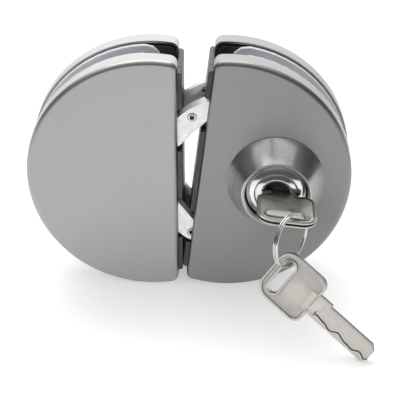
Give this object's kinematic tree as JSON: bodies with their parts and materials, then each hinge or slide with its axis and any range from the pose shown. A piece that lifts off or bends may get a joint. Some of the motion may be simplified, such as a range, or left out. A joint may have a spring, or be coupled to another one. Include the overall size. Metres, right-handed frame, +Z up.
{
  "type": "glass door lock",
  "caption": "Brushed steel lock for frameless glass doors: D-shaped lock and strike casings joined by hooked claws, with a key in the cylinder and a spare on a ring.",
  "frame": {"origin": "centre of the base of the whole set's box, keys included, on the surface that it stands on", "axes": "+X to the right seen from the front, +Y from the front covers to the back covers, +Z up"},
  "size_m": [0.1654, 0.1036, 0.1199],
  "materials": {
    "brushed_steel": "fine brushed",
    "cast_zinc": "dark bright plated",
    "soft_pad": "matte",
    "zinc_plate": "pale zinc plated",
    "plain_steel": "plain",
    "bronze": "plain",
    "chrome": "polished",
    "nickel_silver": "fine grained",
    "ring_steel": "bright"
  },
  "bodies": {
    "casings": {"strike_front_cover": "brushed_steel", "strike_back_cover": "brushed_steel", "lock_front_cover": "brushed_steel", "lock_back_cover": "brushed_steel", "cylinder_rose": "brushed_steel", "strike_front_case": "cast_zinc", "strike_back_case": "cast_zinc", "lock_front_case": "cast_zinc", "lock_back_case": "cast_zinc", "strike_front_pad": "soft_pad", "strike_back_pad": "soft_pad", "lock_front_pad": "soft_pad", "lock_back_pad": "soft_pad", "cylinder_nut": "plain_steel", "strike_clamp_screw_1": "plain_steel", "strike_clamp_screw_2": "plain_steel", "lock_clamp_screw_1": "plain_steel", "lock_clamp_screw_2": "plain_steel", "upper_front_bush": "bronze", "upper_back_bush": "bronze", "lower_front_bush": "bronze", "lower_back_bush": "bronze", "cylinder_body": "chrome"},
    "plug": {"plug": "chrome", "tail_pinion": "plain_steel"},
    "key": {"key": "nickel_silver"},
    "ring": {"split_ring": "ring_steel"},
    "spare_key": {"spare_key": "nickel_silver"},
    "upper_claws": {"upper_front_claw_leaf_1": "zinc_plate", "upper_front_claw_leaf_2": "zinc_plate", "upper_front_claw_leaf_3": "zinc_plate", "upper_back_claw_leaf_1": "zinc_plate", "upper_back_claw_leaf_2": "zinc_plate", "upper_front_rivet_1": "plain_steel", "upper_front_rivet_2": "plain_steel", "upper_back_rivet_1": "plain_steel", "upper_back_rivet_2": "plain_steel", "upper_spindle": "plain_steel", "upper_timing_gear": "plain_steel"},
    "lower_claws": {"lower_front_claw_leaf_1": "zinc_plate", "lower_front_claw_leaf_2": "zinc_plate", "lower_front_claw_leaf_3": "zinc_plate", "lower_back_claw_leaf_1": "zinc_plate", "lower_back_claw_leaf_2": "zinc_plate", "lower_front_rivet_1": "plain_steel", "lower_front_rivet_2": "plain_steel", "lower_back_rivet_1": "plain_steel", "lower_back_rivet_2": "plain_steel", "lower_spindle": "plain_steel", "lower_timing_gear": "plain_steel", "drive_sector": "plain_steel"}
  },
  "joints": [
    {"name": "key_turn", "type": "hinge", "parent": "casings", "child": "plug", "pos_m": [0.03752, 0.01477, 0.05851], "axis": [0, 1, 0], "range_deg": [0, 180]},
    {"name": "key_withdraw", "type": "slide", "parent": "plug", "child": "key", "axis": [0, -1, 0], "range_m": [0, 0.04]},
    {"name": "ring_swing", "type": "hinge", "parent": "key", "child": "ring", "pos_m": [0.04343, -0.01963, 0.0578], "axis": [-0.9928, 0, 0.1194], "range_deg": [0, 45]},
    {"name": "spare_key_swing", "type": "hinge", "parent": "ring", "child": "spare_key", "pos_m": [0.04343, -0.02799, 0.03822], "axis": [-0.5721, -0.8202, 0], "range_deg": [0, 40]},
    {"name": "upper_claws_turn", "type": "hinge", "parent": "casings", "child": "upper_claws", "pos_m": [0.01474, 0.01477, 0.06589], "axis": [0, 1, 0], "range_deg": [0, 65.1]},
    {"name": "lower_claws_turn", "type": "hinge", "parent": "casings", "child": "lower_claws", "pos_m": [0.0133, 0.01477, 0.05397], "axis": [0, 1, 0], "range_deg": [-65.1, 0]}
  ],
  "couplings": [
    {"joint": "upper_claws_turn", "follows": "key_turn", "ratio": 0.36111},
    {"joint": "lower_claws_turn", "follows": "key_turn", "ratio": -0.36111}
  ]
}
